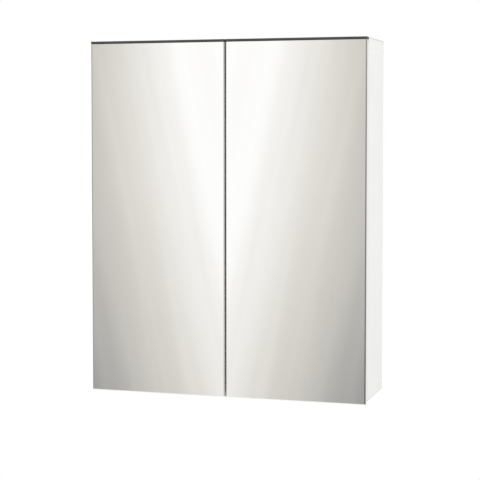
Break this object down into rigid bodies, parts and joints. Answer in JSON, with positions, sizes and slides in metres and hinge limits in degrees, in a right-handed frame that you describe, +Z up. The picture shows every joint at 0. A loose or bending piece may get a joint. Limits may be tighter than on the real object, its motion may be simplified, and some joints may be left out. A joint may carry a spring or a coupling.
{
  "type": "medicine cabinet",
  "caption": "Wall-hung bathroom medicine cabinet: a shallow white board case with glass shelves behind a pair of frameless mirror doors on concealed cup hinges.",
  "frame": {"origin": "middle of the hanging rail's rear face, on the wall plane", "axes": "+Z up, +Y into the wall, the mirror doors face -Y, +X to the right of a person facing the doors"},
  "size_m": [0.6, 0.175, 0.75],
  "materials": {
    "white_board": "white melamine-faced board, satin",
    "back_board": "thin white-faced hardboard",
    "mirror": "silvered float glass with ground and polished edges",
    "adhesive": "mirror adhesive film",
    "dark_trim": "dark anodised strip, satin",
    "shelf_glass": "clear float glass with polished edges",
    "nickel": "nickel-plated pressed steel",
    "zinc_steel": "zinc-plated steel",
    "silicone": "clear soft silicone"
  },
  "bodies": {
    "case": {"side_panel_left": "white_board", "side_panel_right": "white_board", "top_panel": "white_board", "bottom_panel": "white_board", "back_panel": "back_board", "hanging_rail": "white_board", "hanging_plate_left": "zinc_steel", "hanging_plate_right": "zinc_steel", "upper_shelf": "shelf_glass", "lower_shelf": "shelf_glass", "upper_shelf_pin_left_rear": "nickel", "upper_shelf_pin_left_front": "nickel", "upper_shelf_pin_right_rear": "nickel", "upper_shelf_pin_right_front": "nickel", "lower_shelf_pin_left_rear": "nickel", "lower_shelf_pin_left_front": "nickel", "lower_shelf_pin_right_rear": "nickel", "lower_shelf_pin_right_front": "nickel", "left_upper_mounting_plate": "nickel", "left_upper_hinge_arm": "nickel", "left_lower_mounting_plate": "nickel", "left_lower_hinge_arm": "nickel", "right_upper_mounting_plate": "nickel", "right_upper_hinge_arm": "nickel", "right_lower_mounting_plate": "nickel", "right_lower_hinge_arm": "nickel"},
    "left_outer_links": {"left_upper_outer_link": "nickel", "left_lower_outer_link": "nickel"},
    "left_inner_links": {"left_upper_inner_link": "nickel", "left_lower_inner_link": "nickel"},
    "left_door": {"left_door_panel": "white_board", "left_mirror_adhesive": "adhesive", "left_door_mirror": "mirror", "left_door_top_trim": "dark_trim", "left_upper_bumper": "silicone", "left_lower_bumper": "silicone", "left_upper_hinge_cup": "nickel", "left_lower_hinge_cup": "nickel"},
    "right_outer_links": {"right_upper_outer_link": "nickel", "right_lower_outer_link": "nickel"},
    "right_inner_links": {"right_upper_inner_link": "nickel", "right_lower_inner_link": "nickel"},
    "right_door": {"right_door_panel": "white_board", "right_mirror_adhesive": "adhesive", "right_door_mirror": "mirror", "right_door_top_trim": "dark_trim", "right_upper_bumper": "silicone", "right_lower_bumper": "silicone", "right_upper_hinge_cup": "nickel", "right_lower_hinge_cup": "nickel"}
  },
  "joints": [
    {"name": "left_outer_links_swing", "type": "hinge", "parent": "case", "child": "left_outer_links", "pos_m": [-0.2756, -0.1374, 0], "axis": [0, 0, -1], "range_deg": [-33.87, 0]},
    {"name": "left_door_swing", "type": "hinge", "parent": "left_outer_links", "child": "left_door", "pos_m": [-0.292, -0.159, 0], "axis": [0, 0, -1], "range_deg": [0, 127.37]},
    {"name": "left_inner_links_swing", "type": "hinge", "parent": "case", "child": "left_inner_links", "pos_m": [-0.2703, -0.155, 0], "axis": [0, 0, -1], "range_deg": [-46.94, 0]},
    {"name": "right_outer_links_swing", "type": "hinge", "parent": "case", "child": "right_outer_links", "pos_m": [0.2756, -0.1374, 0], "axis": [0, 0, 1], "range_deg": [-33.87, 0]},
    {"name": "right_door_swing", "type": "hinge", "parent": "right_outer_links", "child": "right_door", "pos_m": [0.292, -0.159, 0], "axis": [0, 0, 1], "range_deg": [0, 127.37]},
    {"name": "right_inner_links_swing", "type": "hinge", "parent": "case", "child": "right_inner_links", "pos_m": [0.2703, -0.155, 0], "axis": [0, 0, 1], "range_deg": [-46.94, 0]}
  ],
  "couplings": [
    {"joint": "left_outer_links_swing", "follows": "left_door_swing", "ratio": -0.26199},
    {"joint": "left_inner_links_swing", "follows": "left_door_swing", "ratio": -0.36458},
    {"joint": "right_outer_links_swing", "follows": "right_door_swing", "ratio": -0.26199},
    {"joint": "right_inner_links_swing", "follows": "right_door_swing", "ratio": -0.36458}
  ]
}
